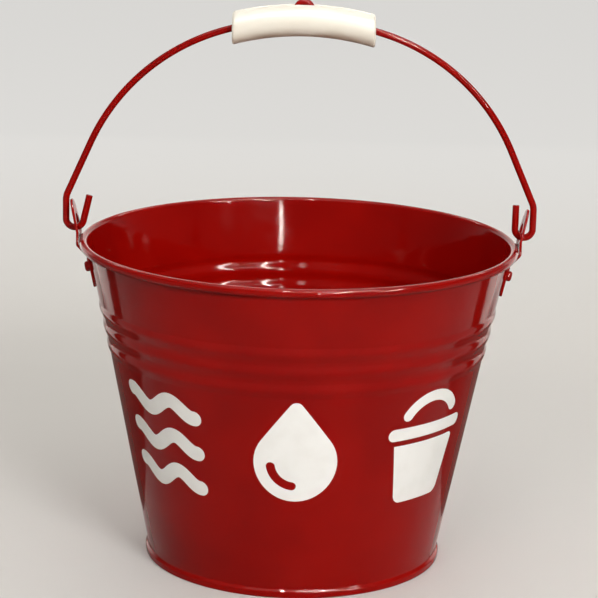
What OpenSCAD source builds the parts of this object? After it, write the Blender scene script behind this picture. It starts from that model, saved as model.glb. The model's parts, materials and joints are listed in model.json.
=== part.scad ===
// Fire bucket of the 8-litre class: a seamed sheet-steel wall and bottom, a wired rim, riveted ears
// and a swinging wire bail with a moulded grip.
// Millimetres. The origin is the centre of the foot, +Z is up, the ears are on X, the front is -Y.

/* [Bucket] */
// Height from the floor to the top of the rim
bucket_h = 200; // [180:1:230]
// Diameter over the rim bead
rim_d = 270; // [250:1:300]
// Outer diameter of the wall just above the foot seam
base_d = 182.4; // [160:0.2:210]
// How far the wall lies inside a straight cone at the lower end of the beads
waist_inset = 0.9; // [0:0.1:3]
// Thickness of the sheet that the wall and the bottom are made of
sheet_t = 0.45; // [0.35:0.05:0.8]

/* [Beads] */
// Number of rolled beads round the wall
bead_count = 3; // [1:1:4]
// Depth of the uppermost bead's centre below the top of the rim
bead_drop = 41.8; // [38:0.1:60]
// Distance from one bead to the next
bead_pitch = 11.5; // [11:0.1:20]
// Width of one bead along the wall
bead_w = 10.6; // [6:0.1:10.8]
// How far a bead stands out of the wall
bead_rise = 0.9; // [0.3:0.1:2]

/* [Rim] */
// Diameter of the wire inside the rim curl
rim_wire_d = 4; // [3:0.1:5]
// Clearance between the rim wire and the sheet curled round it
rim_wire_gap = 0.15; // [0.05:0.05:0.3]
// Angle that the sheet curls round the rim wire
curl_turn = 300; // [240:5:305]

/* [Foot seam] */
// Height of the foot seam
seam_h = 6; // [5:0.5:9]
// Gap between the folded layers of the foot seam
seam_gap = 0.05; // [0.03:0.01:0.15]
// Height of the bottom panel above the floor
panel_z = 6.8; // [5:0.1:12]
// Radius of the bend between the bottom panel and the seam
panel_bend_r = 1.6; // [1:0.1:3]

/* [Side seam] */
// Width of the folded side seam at the back of the wall
side_seam_w = 6; // [4:0.5:10]
// How far the side seam stands out of the wall
side_seam_rise = 0.9; // [0.5:0.1:1.5]

/* [Ears] */
// Thickness of an ear
ear_t = 1.6; // [1:0.1:2.4]
// Width of an ear at its foot
ear_w = 32; // [28:1:44]
// Corner radius of an ear's foot
ear_corner_r = 5; // [2:0.5:8]
// Radius of an ear's tip
ear_tip_r = 7.5; // [6.5:0.5:9]
// Depth of an ear's lower edge below the top of the rim
ear_foot_drop = 30.5; // [28:0.5:32]
// Height of an ear's tip above the top of the rim
ear_tip_rise = 22; // [18:0.5:26]
// Diameter of the eye that the bail hooks into
eye_d = 11; // [8:0.5:12]
// Height of the eye's centre above the top of the rim
eye_rise = 7.3; // [7:0.1:9]
// Clearance between an ear and the wall
ear_gap = 0.1; // [0.05:0.05:0.3]
// Clearance between an ear and the rim bead
ear_rim_gap = 0.3; // [0.3:0.1:1]
// Centreline radius of the bends in an ear
ear_bend_r = 2.4; // [1.8:0.1:3]

/* [Rivets] */
// Diameter of a rivet's shank
rivet_d = 4; // [3:0.1:5]
// Diameter of a rivet's outer head
rivet_head_d = 6.4; // [6:0.1:8]
// Height of a rivet's outer head
rivet_head_h = 2.8; // [1.5:0.1:3.5]
// Diameter of a rivet's inner head
rivet_inner_d = 7; // [6:0.1:9]
// Height of a rivet's inner head
rivet_inner_h = 1.2; // [0.8:0.1:2]
// Distance between the two rivets of an ear
rivet_pitch = 17; // [14:0.5:20]
// Depth of the rivets below the top of the rim
rivet_drop = 18; // [17:0.5:20]
// Clearance under a rivet's heads and round its shank
rivet_gap = 0.1; // [0.08:0.01:0.2]

/* [Bail] */
// Diameter of the bail wire
wire_d = 4.2; // [3.5:0.1:5]
// Height of the bail's arch above its pivot, without the hump
bail_rise = 130.7; // [120:0.1:150]
// Clearance between the wire and what it hooks into or straddles
hook_gap = 0.4; // [0.3:0.05:1]
// Height of the hook's free end above the pivot
hook_end_rise = 20.3; // [14:0.1:26]
// Angle by which the free end of the left hook is bent open
left_hook_open = 13; // [0:1:20]
// Angle by which the free end of the right hook is bent open
right_hook_open = 0; // [0:1:20]
// Height above the pivot at which the outer leg starts to lean inwards
leg_rise = 17; // [14:0.5:24]
// Lean of the bail's legs from the vertical
leg_lean = 24; // [18:1:30]
// Radius of the bend at the foot of a leg
leg_bend_r = 12; // [8:1:20]
// Height of the hanging hump above the arch
hump_rise = 11; // [9:0.5:14]
// Centreline radius of the bends in the hump
hump_r = 4.4; // [3.5:0.1:5]
// Slope of the hump's sides
hump_slope = 75; // [65:1:80]

/* [Grip] */
// Length of the grip between its upright ends
grip_l = 86.5; // [70:0.5:95]
// Diameter of the grip
grip_d = 19.5; // [16:0.5:24]
// Centreline radius of the arch that the grip and the wire in it follow
grip_arch_r = 167; // [150:1:200]
// Half of the angle over which the wire follows the grip's arch
grip_arch_angle = 17.7; // [17:0.1:19]
// Clearance between the wire and the grip's bore
grip_gap = 0.3; // [0.2:0.05:0.6]
// Width of the slot along the top through which the wire is pressed in
slot_w = 3.4; // [2.6:0.1:3.4]

/* [Hidden] */
$fn = 96;
bend_steps = 6;
bead_steps = 12;
curl_steps = 30;
outline_steps = 10;
wire_sides = 16;

paint = [0.62, 0.02, 0.03];
steel = [0.55, 0.55, 0.57];
ivory = [0.93, 0.91, 0.86];

// Foot seam: five layers, one layer pitch apart, counted outwards from the bottom's inner wall
layer = sheet_t + seam_gap;
wall_foot_r = base_d / 2 - sheet_t / 2;
panel_r = wall_foot_r - layer;
end_hook_r = wall_foot_r + layer;
body_hook_r = wall_foot_r + 2 * layer;
cover_r = wall_foot_r + 3 * layer;
hook_bottom_z = sheet_t + seam_gap + sheet_t / 2;
hook_end_gap = 0.5;
neck_r = 2;

// Rim curl: its circle's centre and centreline radius
curl_r = rim_wire_d / 2 + rim_wire_gap + sheet_t / 2;
bead_outer_r = curl_r + sheet_t / 2;
curl_c = [rim_d / 2 - bead_outer_r, bucket_h - bead_outer_r];

// Waist: where the lower cone ends, under the lowest bead
top_bead_z = bucket_h - bead_drop;
low_bead_z = top_bead_z - (bead_count - 1) * bead_pitch;
waist_z = low_bead_z - bead_w / 2;
straight_share = (waist_z - seam_h) / (curl_c[1] - seam_h);
straight_waist_r = wall_foot_r + (curl_c[0] - curl_r - wall_foot_r) * straight_share;
waist = [straight_waist_r - waist_inset, waist_z];

// Upper cone: runs from the waist and meets the curl's circle as a tangent
to_curl = curl_c - waist;
wall_lean = atan2(to_curl[0], to_curl[1]) - asin(curl_r / norm(to_curl));
function upper_r(z) = waist[0] + (z - waist[1]) * tan(wall_lean);

// Ear: corners of its bent strip, all on the centre of its thickness
joggle_drop = 11.5;
joggle_h = 6.9;
lean_rise = 3;
strip_spare = 5;
ear_foot_z = bucket_h - ear_foot_drop;
ear_tip_z = bucket_h + ear_tip_rise;
wall_to_ear = (sheet_t / 2 + ear_gap + ear_t / 2) / cos(wall_lean);
ear_upright_r = rim_d / 2 + ear_rim_gap + ear_t / 2;
joggle_low_z = bucket_h - joggle_drop;
joggle_high_z = joggle_low_z + joggle_h;
lean_z = bucket_h + lean_rise;
function ear_low_r(z) = upper_r(z) + wall_to_ear;
function ear_high_r(z) = ear_upright_r + (z - lean_z) * tan(wall_lean);

// Ear outline: centres of the foot corner and the tip, and the side line that touches both
ear_half_w = ear_w / 2;
foot_c = [ear_half_w - ear_corner_r, ear_foot_z + ear_corner_r];
tip_c = [0, ear_tip_z - ear_tip_r];
foot_to_tip = tip_c - foot_c;
side_angle = atan2(foot_to_tip[1], foot_to_tip[0]) - acos((ear_corner_r - ear_tip_r) / norm(foot_to_tip));
function ear_side_w(z) = (ear_tip_r - (z - tip_c[1]) * sin(side_angle)) / cos(side_angle);

// Eye and pivot: the wire lies in the bottom of the eye
eye_z = bucket_h + eye_rise;
pivot_z = eye_z - eye_d / 2 + hook_gap + wire_d / 2;
rivet_z = bucket_h - rivet_drop;
rivet_angle = asin(rivet_pitch / 2 / ear_low_r(rivet_z));

// Hook: its legs straddle the ear upright, and still do when the bail lies flat
ear_face = ear_t / 2 / cos(wall_lean);
ear_sag = ear_upright_r - sqrt(pow(ear_upright_r, 2) - pow(ear_side_w(pivot_z), 2));
hook_out_x = ear_high_r(ear_tip_z) + ear_face + hook_gap + wire_d / 2;
hook_in_x = ear_high_r(pivot_z) - ear_face - ear_sag - hook_gap - wire_d / 2;
hook_r = (hook_out_x - hook_in_x) / 2;

// Arch: the shoulder's radius and the leg's length close the path between the grip and the hook
leg_slope = 90 - leg_lean;
arch_z = pivot_z + bail_rise;
leg_foot = [hook_out_x - leg_bend_r * (1 - sin(leg_slope)), pivot_z + leg_rise + leg_bend_r * cos(leg_slope)];
span = [leg_foot[0] - grip_arch_r * sin(grip_arch_angle),
        arch_z - leg_foot[1] - grip_arch_r * (1 - cos(grip_arch_angle))];
shoulder_turn = [sin(leg_slope) - sin(grip_arch_angle), cos(grip_arch_angle) - cos(leg_slope)];
leg_run = [cos(leg_slope), sin(leg_slope)];
shoulder_r = cross(span, leg_run) / cross(shoulder_turn, leg_run);
leg_l = cross(shoulder_turn, span) / cross(shoulder_turn, leg_run);

// Hump: the length of its straight sides brings its lower bends tangent to the arch
hump_u = 2 * hump_r * sin(hump_slope);
hump_v = hump_rise - hump_r + grip_arch_r + 2 * hump_r * cos(hump_slope);
hump_b = hump_u * cos(hump_slope) - hump_v * sin(hump_slope);
hump_c = pow(hump_u, 2) + pow(hump_v, 2) - pow(grip_arch_r + hump_r, 2);
hump_side = -hump_b - sqrt(pow(hump_b, 2) - hump_c);
hump_angle = asin((hump_u + hump_side * cos(hump_slope)) / (grip_arch_r + hump_r));
hump_half_w = grip_arch_r * sin(hump_angle);

// Path helpers: a path is a list of points in the (radius, height) plane
function unit(v) = v / norm(v);
function left_of(v) = [-v[1], v[0]];
function arc(c, r, from, turn, steps) =
    [for (i = [0:steps]) c + r * [cos(from + turn * i / steps), sin(from + turn * i / steps)]];

// A corner at p between a and b, rounded to radius r
function corner(a, p, b, r) =
    let (u = unit(a - p),
         w = unit(b - p),
         half = acos(u * w) / 2,
         c = p + unit(u + w) * r / sin(half),
         s = p + u * r / tan(half) - c,
         side = cross(u, w) > 0 ? -1 : 1)
    arc(c, r, atan2(s[1], s[0]), side * (180 - 2 * half), bend_steps);

// The path without points that repeat the one before
function distinct(p) = [for (i = [0:len(p) - 1]) if (i == 0 || norm(p[i] - p[max(i - 1, 0)]) > 0.001) p[i]];

// A path through points given as [x, y, bend radius]; the first and last have no bend
function bent_path(p) =
    distinct([for (i = [0:len(p) - 1])
        let (here = [p[i][0], p[i][1]],
             sharp = i == 0 || i == len(p) - 1 || p[i][2] == 0)
        each sharp ? [here] : corner([p[i - 1][0], p[i - 1][1]], here, [p[i + 1][0], p[i + 1][1]], p[i][2])]);

// The path moved sideways by d, mitred at each point
function offset_path(p, d) =
    [for (i = [0:len(p) - 1])
        let (before = i == 0 ? unit(p[1] - p[0]) : unit(p[i] - p[i - 1]),
             after = i == len(p) - 1 ? before : unit(p[i + 1] - p[i]),
             n = unit(left_of(before) + left_of(after)))
        p[i] + n * d / (n * left_of(before))];

// Section of a bent sheet: the path thickened to both sides
module sheet_section(path, t) {
    left_side = offset_path(path, t / 2);
    right_side = offset_path(path, -t / 2);
    polygon(concat(left_side, [for (i = [len(path) - 1:-1:0]) right_side[i]]));
}

// Beads from the lowest to the highest, each one wave of a cosine on the upper cone
beads = [for (k = [bead_count - 1:-1:0], i = [0:bead_steps])
    let (z = top_bead_z - k * bead_pitch + bead_w * (i / bead_steps - 0.5))
    [upper_r(z) + bead_rise / 2 * (1 - cos(360 * i / bead_steps)), z]];

// Wall from the top of the seam up to the curl, on the centre of the sheet
wall_rise = concat(
    bent_path([[wall_foot_r, hook_bottom_z + layer, 0],
               [wall_foot_r, seam_h - sheet_t, neck_r],
               [waist[0], waist[1], 0]]),
    [for (i = [1:len(beads) - 1]) beads[i]]);

wall_path = concat(
    bent_path([[body_hook_r, seam_h - sheet_t - hook_end_gap, 0],
               [body_hook_r, hook_bottom_z, layer],
               [wall_foot_r, hook_bottom_z, layer],
               [wall_foot_r, hook_bottom_z + 2 * layer, 0]]),
    [for (i = [1:len(wall_rise) - 1]) wall_rise[i]],
    arc(curl_c, curl_r, 180 - wall_lean, -curl_turn, curl_steps));

bottom_path = bent_path([[0, panel_z, 0],
                         [panel_r, panel_z, panel_bend_r],
                         [panel_r, sheet_t / 2, layer],
                         [cover_r, sheet_t / 2, layer],
                         [cover_r, seam_h - sheet_t / 2, layer],
                         [end_hook_r, seam_h - sheet_t / 2, layer],
                         [end_hook_r, hook_bottom_z + hook_end_gap, 0]]);

ear_path = bent_path([[ear_low_r(ear_foot_z - strip_spare), ear_foot_z - strip_spare, 0],
                      [ear_low_r(joggle_low_z), joggle_low_z, ear_bend_r],
                      [ear_upright_r, joggle_high_z, ear_bend_r],
                      [ear_upright_r, lean_z, ear_bend_r],
                      [ear_high_r(ear_tip_z + strip_spare), ear_tip_z + strip_spare, 0]]);

// Places children on the rivet's axis, with z = 0 on the ear's outer face and +Z pointing outwards
module at_rivet(side) {
    face_r = ear_low_r(rivet_z) + ear_t / 2 / cos(wall_lean);
    rotate([0, 0, side * rivet_angle])
        translate([face_r, 0, rivet_z])
            rotate([0, 90 + wall_lean, 0])
                children();
}

module rivet_holes() {
    for (side = [-1, 1])
        at_rivet(side)
            cylinder(h = 10 * ear_t, d = rivet_d + 2 * rivet_gap, center = true);
}

module both_ends() {
    children();
    rotate([0, 0, 180]) children();
}

// The folded side seam: a narrow band at the back that follows the wall from the foot seam to the curl
module side_seam() {
    band_t = sheet_t / 2 + side_seam_rise;
    end_z = curl_c[1] - bead_outer_r;
    along = concat([for (p = wall_rise) if (p[1] > seam_h) p], [[upper_r(end_z), end_z]]);
    intersection() {
        rotate_extrude() sheet_section([for (p = along) [p[0] + band_t / 2, p[1]]], band_t);
        translate([-side_seam_w / 2, 0, 0]) cube([side_seam_w, rim_d, bucket_h]);
    }
}

module body_wall() {
    color(paint)
    difference() {
        union() {
            rotate_extrude() sheet_section(wall_path, sheet_t);
            side_seam();
        }
        both_ends() rivet_holes();
    }
}

module rim_wire() {
    color(steel)
    rotate_extrude()
        translate(curl_c)
            circle(d = rim_wire_d);
}

module bottom_plate() {
    color(paint)
    rotate_extrude() sheet_section(bottom_path, sheet_t);
}

// Outline of an ear seen from the side
module ear_outline() {
    polygon(concat(
        arc(foot_c, ear_corner_r, -90, 90 + side_angle, outline_steps),
        arc(tip_c, ear_tip_r, side_angle, 180 - 2 * side_angle, 2 * outline_steps),
        arc([-foot_c[0], foot_c[1]], ear_corner_r, 180 - side_angle, 90 + side_angle, outline_steps)));
}

module ear() {
    color(paint)
    difference() {
        intersection() {
            rotate_extrude() sheet_section(ear_path, ear_t);
            translate([wall_foot_r, 0, 0])
                rotate([90, 0, 90])
                    linear_extrude(height = rim_d / 2)
                        ear_outline();
        }
        translate([ear_high_r(eye_z), 0, eye_z])
            rotate([0, 90 + wall_lean, 0])
                cylinder(h = 4 * ear_t, d = eye_d, center = true);
        rivet_holes();
    }
}

// One rivet through the ear and the wall, upset to a head at each end
module rivet(side) {
    edge = 0.7;
    inner_z = -(ear_t + ear_gap + sheet_t + rivet_gap);
    head_r = rivet_head_d / 2;
    inner_r = rivet_inner_d / 2;
    color(paint)
    at_rivet(side)
        rotate_extrude()
            polygon(concat(
                [[0, rivet_gap + rivet_head_h]],
                arc([head_r - edge, rivet_gap + rivet_head_h - edge], edge, 90, -90, bend_steps),
                [[head_r, rivet_gap], [rivet_d / 2, rivet_gap],
                 [rivet_d / 2, inner_z], [inner_r, inner_z]],
                arc([inner_r - edge, inner_z - rivet_inner_h + edge], edge, 0, -90, bend_steps),
                [[0, inner_z - rivet_inner_h]]));
}

// Wire path of one half of the bail, as [bend radius, turn, steps] or [length]; it starts level at the hump
function bail_steps(open) = [[hump_r, -hump_slope, 6],
                             [hump_side],
                             [hump_r, hump_slope - hump_angle, 6],
                             [grip_arch_r, hump_angle - grip_arch_angle, 4],
                             [shoulder_r, grip_arch_angle - leg_slope, 12],
                             [leg_l],
                             [leg_bend_r, leg_slope - 90, 4],
                             [leg_rise - hook_r],
                             [hook_r, open - 180, 14],
                             [(hook_end_rise - hook_r * (1 - sin(open))) / cos(open)]];

// Stations along the wire as [point, heading], one step after another
function stations(steps, at, heading, i = 0) =
    i == len(steps) ? []
    : let (s = steps[i],
           go = [cos(heading), sin(heading)],
           straight = len(s) == 1,
           side = straight ? 0 : sign(s[1]),
           c = straight ? at : at + side * s[0] * left_of(go),
           made = straight ? [[at + s[0] * go, heading]]
               : [for (k = [1:s[2]])
                   let (turn = s[1] * k / s[2], a = heading - 90 * side + turn)
                   [c + s[0] * [cos(a), sin(a)], heading + turn]],
           last = made[len(made) - 1])
      concat(made, stations(steps, last[0], last[1], i + 1));

// A round wire swept through its stations in the XZ plane, closed flat at both ends
module swept_wire(run, d) {
    n = len(run);
    m = wire_sides;
    points = [for (s = run, j = [0:m - 1])
        let (side = left_of([cos(s[1]), sin(s[1])]) * d / 2 * cos(360 * j / m))
        [s[0][0] + side[0], d / 2 * sin(360 * j / m), s[0][1] + side[1]]];
    walls = [for (i = [0:n - 2], j = [0:m - 1])
        let (a = i * m + j, b = i * m + (j + 1) % m)
        each [[a, b, b + m], [a, b + m, a + m]]];
    polyhedron(points, concat(
        [[for (j = [m - 1:-1:0]) j]],
        walls,
        [[for (j = [0:m - 1]) (n - 1) * m + j]]));
}

module bail() {
    top = [0, arch_z + hump_rise];
    right = stations(bail_steps(right_hook_open), top, 0);
    other = stations(bail_steps(left_hook_open), top, 0);
    left = [for (i = [len(other) - 1:-1:0]) [[-other[i][0][0], other[i][0][1]], -other[i][1]]];
    color(paint)
    swept_wire(concat(left, [[top, 0]], right), wire_d);
}

// Sweeps a section, drawn about the arch's centreline, along the arch over the given half angle
module along_arch(half_angle) {
    translate([0, 0, arch_z - grip_arch_r])
        rotate([90, 0, 0])
            rotate([0, 0, 90 - half_angle])
                rotate_extrude(angle = 2 * half_angle)
                    translate([grip_arch_r, 0])
                        children();
}

module grip() {
    end_angle = asin(grip_l / 2 / grip_arch_r);
    spare = 4;
    window_w = wire_d + 2 * grip_gap;
    window_l = 2 * hump_half_w + wire_d;
    color(ivory)
    difference() {
        intersection() {
            along_arch(end_angle + spare) circle(d = grip_d);
            translate([-grip_l / 2, -grip_d, arch_z - grip_arch_r])
                cube([grip_l, 2 * grip_d, 2 * grip_arch_r]);
        }
        along_arch(end_angle + 2 * spare) circle(d = window_w);
        along_arch(end_angle + 2 * spare) translate([0, -slot_w / 2]) square([grip_d, slot_w]);
        translate([-window_l / 2, -window_w / 2, arch_z]) cube([window_l, window_w, grip_d]);
    }
}

body_wall();
rim_wire();
bottom_plate();
rotate([0, 0, 180]) ear();  // ear_left
ear();  // ear_right
rotate([0, 0, 180]) rivet(1);  // rivet_left_front
rotate([0, 0, 180]) rivet(-1);  // rivet_left_back
rivet(-1);  // rivet_right_front
rivet(1);  // rivet_right_back
bail();
grip();
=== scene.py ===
"""A red enamelled fire bucket with a wired rim, riveted ears and a swinging bail, dressed for the studio.

The bucket stands on the floor at the origin, with its ears on X and its front towards -Y. Every piece is
built in millimetres and made metres when its mesh is finished.
"""
import json
import logging
import math
from dataclasses import dataclass
from enum import Enum
from typing import Any, Iterable, Sequence

import bmesh
import bpy
from mathutils import Matrix, Vector


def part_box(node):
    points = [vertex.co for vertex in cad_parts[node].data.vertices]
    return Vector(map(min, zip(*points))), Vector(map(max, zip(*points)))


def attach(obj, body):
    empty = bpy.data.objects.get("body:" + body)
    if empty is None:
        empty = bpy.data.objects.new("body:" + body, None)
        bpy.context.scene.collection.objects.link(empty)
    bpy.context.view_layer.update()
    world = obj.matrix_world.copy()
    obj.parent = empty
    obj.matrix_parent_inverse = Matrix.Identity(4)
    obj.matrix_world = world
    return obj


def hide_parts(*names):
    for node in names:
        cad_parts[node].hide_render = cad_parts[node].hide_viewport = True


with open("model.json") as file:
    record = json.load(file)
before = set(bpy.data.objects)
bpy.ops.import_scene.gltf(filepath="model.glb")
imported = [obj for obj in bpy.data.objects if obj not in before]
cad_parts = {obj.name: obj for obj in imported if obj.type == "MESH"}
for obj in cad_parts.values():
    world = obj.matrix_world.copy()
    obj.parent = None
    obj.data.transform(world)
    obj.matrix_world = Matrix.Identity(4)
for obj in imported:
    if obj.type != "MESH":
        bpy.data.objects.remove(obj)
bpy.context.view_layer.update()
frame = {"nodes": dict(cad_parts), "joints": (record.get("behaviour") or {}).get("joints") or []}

Mesh = bmesh.types.BMesh
Edge = bmesh.types.BMEdge
Thing = bpy.types.Object
Material = bpy.types.Material
Colour = Corner = Place = tuple[float, float, float]
Span = tuple[float, float]

LOG = logging.getLogger("fire_bucket")
MM = 0.001

# Limits, in millimetres and radians: points nearer than this are one, and faces turned further make a corner
SAME_POINT = 1e-3
TOUCHING = 1e-4
ON_THE_CUT = 1e-5
CORNER_ANGLE = 1.0

# Number of faces across a rounded edge, and the sockets of a Mix node that mixes colours
ROUNDING_STEPS = 3
MIX_SHARE, MIX_LOW, MIX_HIGH, MIXED = 0, 6, 7, 2


class Body(Enum):
    """The rigid bodies that a piece can ride on."""

    BUCKET = "bucket"
    BAIL = "bail"


class Slot(Enum):
    """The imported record's finishes that the new pieces take."""

    RED_ENAMEL = "red_enamel"
    GRIP_PLASTIC = "grip_plastic"


class Side(Enum):
    """The two ends of the bail's axis, as signs of X."""

    LEFT = -1
    RIGHT = 1


class Spread(Enum):
    """How a noise pattern is stretched over a piece."""

    EVEN = (1.0, 1.0, 1.0)
    ROUND_THE_WALL = (1.0, 1.0, 3.0)
    ALONG_THE_GRIP = (0.3, 1.0, 1.0)
    FLAT_FROM_THE_FRONT = (1.0, 0.0, 1.0)


class Reach(Enum):
    """What a lamp acts on: whether it lights matt colour, and whether it shows in gloss."""

    ALL = (True, True)
    MATT = (True, False)
    GLOSS = (False, True)


class Warmth(Enum):
    """The colours of the lamps' light."""

    DAYLIGHT = (1.0, 0.98, 0.945)
    WARM = (1.0, 0.95, 0.88)


# Flat paths: lists of points in a plane, in millimetres


def arc(centre: Vector, radius: float, start: float, turn: float, steps: int) -> list[Vector]:
    """Points along an arc.

    Args:
        centre: Centre of the arc.
        radius: Radius of the arc.
        start: Angle of the first point, in degrees.
        turn: Angle from the first point to the last, in degrees.
        steps: Number of steps between them.

    Returns:
        One point more than there are steps.
    """
    angles = (math.radians(start + turn * i / steps) for i in range(steps + 1))
    return [centre + radius * Vector((math.cos(a), math.sin(a))) for a in angles]


def rounded(corners: Sequence[Corner], steps: int = 6) -> list[Vector]:
    """Points of a path whose corners are rounded.

    Args:
        corners: Each corner as x, y and the radius of its bend. The first and last have no bend.
        steps: Number of steps in each bend.

    Returns:
        The path's points, with none repeated.
    """
    points: list[Vector] = []
    last = len(corners) - 1
    for i, (x, y, radius) in enumerate(corners):
        here = Vector((x, y))
        if i in (0, last) or radius == 0:
            points.append(here)
            continue
        back = (Vector(corners[i - 1][:2]) - here).normalized()
        ahead = (Vector(corners[i + 1][:2]) - here).normalized()
        half = back.angle(ahead) / 2
        centre = here + (back + ahead).normalized() * radius / math.sin(half)
        start = here + back * radius / math.tan(half) - centre
        side = -1 if back.x * ahead.y - back.y * ahead.x > 0 else 1
        turn = side * (180 - 2 * math.degrees(half))
        points += arc(centre, radius, math.degrees(math.atan2(start.y, start.x)), turn, steps)
    kept = points[:1]
    kept += [b for a, b in zip(points, points[1:]) if (b - a).length > SAME_POINT]
    return kept


# Meshes: small operations that the pieces share


def chain(bm: Mesh, points: Iterable[Vector], closed: bool = False) -> list[Edge]:
    """Adds a row of vertices joined by edges.

    Args:
        bm: The mesh to add to.
        points: Places of the vertices.
        closed: Whether the last vertex is joined to the first.

    Returns:
        The new edges, in order.
    """
    verts = [bm.verts.new(p) for p in points]
    pairs = list(zip(verts, verts[1:]))
    if closed:
        pairs.append((verts[-1], verts[0]))
    return [bm.edges.new(pair) for pair in pairs]


def spun(path: Sequence[Vector], segments: int) -> Mesh:
    """Spins a path round the Z axis.

    Args:
        path: Radius and height of its points.
        segments: Number of segments round the axis.

    Returns:
        The surface, with its faces turned the same way.
    """
    bm = bmesh.new()
    edges = chain(bm, [Vector((p.x, 0, p.y)) for p in path])
    bmesh.ops.spin(bm, geom=bm.verts[:] + edges, cent=(0, 0, 0), axis=(0, 0, 1), dvec=(0, 0, 0),
                   angle=math.tau, steps=segments, use_merge=True, use_duplicate=False)
    bmesh.ops.remove_doubles(bm, verts=bm.verts, dist=TOUCHING)
    bmesh.ops.recalc_face_normals(bm, faces=bm.faces)
    return bm


def grow(bm: Mesh, edges: Sequence[Edge], step: Vector) -> list[Edge]:
    """Extrudes a row of edges.

    Args:
        bm: The mesh that they belong to.
        edges: The edges.
        step: How far from them the new edges lie.

    Returns:
        The new row of edges.
    """
    grown = bmesh.ops.extrude_edge_only(bm, edges=edges)["geom"]
    verts = [g for g in grown if isinstance(g, bmesh.types.BMVert)]
    bmesh.ops.translate(bm, vec=step, verts=verts)
    new = set(verts)
    return [g for g in grown if isinstance(g, Edge) and set(g.verts) <= new]


def thicken(bm: Mesh, thickness: float) -> None:
    """Gives an open sheet its thickness, half of it to each side.

    Args:
        bm: The sheet, which becomes a closed shell.
        thickness: Thickness of the sheet.
    """
    bm.normal_update()
    shifts = [(v, v.normal * thickness / 2 * v.calc_shell_factor()) for v in bm.verts]
    for vert, shift in shifts:
        vert.co += shift
    bmesh.ops.solidify(bm, geom=bm.faces[:], thickness=thickness)
    bm.normal_update()
    if bm.calc_volume(signed=True) < 0:
        bmesh.ops.reverse_faces(bm, faces=bm.faces)


def cut_in_strips(bm: Mesh, axis: Vector, places: Iterable[float]) -> None:
    """Cuts a flat mesh across at several places, so that it can bend there.

    Args:
        bm: The mesh to cut.
        axis: Direction across the cuts.
        places: Distances of the cuts along the axis.
    """
    for place in places:
        bmesh.ops.bisect_plane(bm, geom=bm.verts[:] + bm.edges[:] + bm.faces[:], dist=TOUCHING,
                               plane_co=axis * place, plane_no=axis)


def round_edges(bm: Mesh, edges: Sequence[Edge], size: float) -> None:
    """Rounds the given edges.

    Args:
        bm: The mesh that the edges belong to.
        edges: The edges to round.
        size: How far the rounding reaches from each edge.
    """
    bmesh.ops.bevel(bm, geom=list(edges), offset=size, offset_type="OFFSET", segments=ROUNDING_STEPS,
                    profile=0.5, affect="EDGES", material=-1, clamp_overlap=True)


def steps_between(low: float, high: float, pitch: float) -> list[float]:
    """Evenly spaced places strictly between two ends, about a pitch apart."""
    count = max(1, round((high - low) / pitch))
    return [low + (high - low) * i / count for i in range(1, count)]


def added(bm: Mesh, name: str, material: Material) -> Thing:
    """Puts a mesh into the scene.

    Args:
        bm: The mesh, which is freed.
        name: Name of the object.
        material: Its material.

    Returns:
        The object.
    """
    mesh = bpy.data.meshes.new(name)
    bm.to_mesh(mesh)
    bm.free()
    mesh.materials.append(material)
    thing = bpy.data.objects.new(name, mesh)
    bpy.context.scene.collection.objects.link(thing)
    return thing


def finished(bm: Mesh, name: str, body: Body, material: Material,
             replaces: Sequence[str] = (), sharp: float = 40.0) -> Thing:
    """Turns a mesh built in millimetres into a piece that rides on a body.

    Args:
        bm: The mesh, which is freed.
        name: Name of the piece.
        body: The body that it rides on.
        material: Its material.
        replaces: CAD nodes that the piece stands for.
        sharp: Angle between faces past which an edge stays crisp, in degrees.

    Returns:
        The piece.
    """
    bmesh.ops.scale(bm, vec=(MM, MM, MM), verts=bm.verts)
    bmesh.ops.dissolve_degenerate(bm, dist=TOUCHING * MM, edges=bm.edges)
    piece = added(bm, name, material)
    piece.data.shade_smooth()
    piece.data.set_sharp_from_angle(angle=math.radians(sharp))
    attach(piece, body.value)
    if replaces:
        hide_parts(*replaces)
    return piece


# Materials: sockets as values, and one method that adds any node


@dataclass(frozen=True)
class Pattern:
    """A noise pattern, with the levels between which it fades in, if it has them."""

    size_mm: float
    detail: float = 2.0
    spread: Spread = Spread.EVEN
    levels: Span | None = None


class Value:
    """A shader socket that can be used in sums."""

    def __init__(self, book: "ShaderBook", socket: bpy.types.NodeSocket) -> None:
        """Wraps an output socket.

        Args:
            book: The material's shader book.
            socket: The output socket.
        """
        self.book = book
        self.socket = socket

    def _maths(self, operation: str, a: Any, b: Any) -> "Value":
        """One Math node on two values or numbers."""
        return self.book.node("ShaderNodeMath", {"operation": operation}, {0: a, 1: b})

    def __add__(self, other: Any) -> "Value":
        """The sum."""
        return self._maths("ADD", self, other)

    def __radd__(self, other: float) -> "Value":
        """The sum, with the number first."""
        return self._maths("ADD", other, self)

    def __rsub__(self, other: float) -> "Value":
        """The difference, with the number first."""
        return self._maths("SUBTRACT", other, self)

    def __mul__(self, other: Any) -> "Value":
        """The product."""
        return self._maths("MULTIPLY", self, other)

    def above(self, low: float, high: float) -> "Value":
        """A smooth mask that is 0 below low and 1 above high."""
        inputs = {"Value": self, "From Min": low, "From Max": high}
        return self.book.node("ShaderNodeMapRange", {"interpolation_type": "SMOOTHSTEP"}, inputs)


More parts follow.
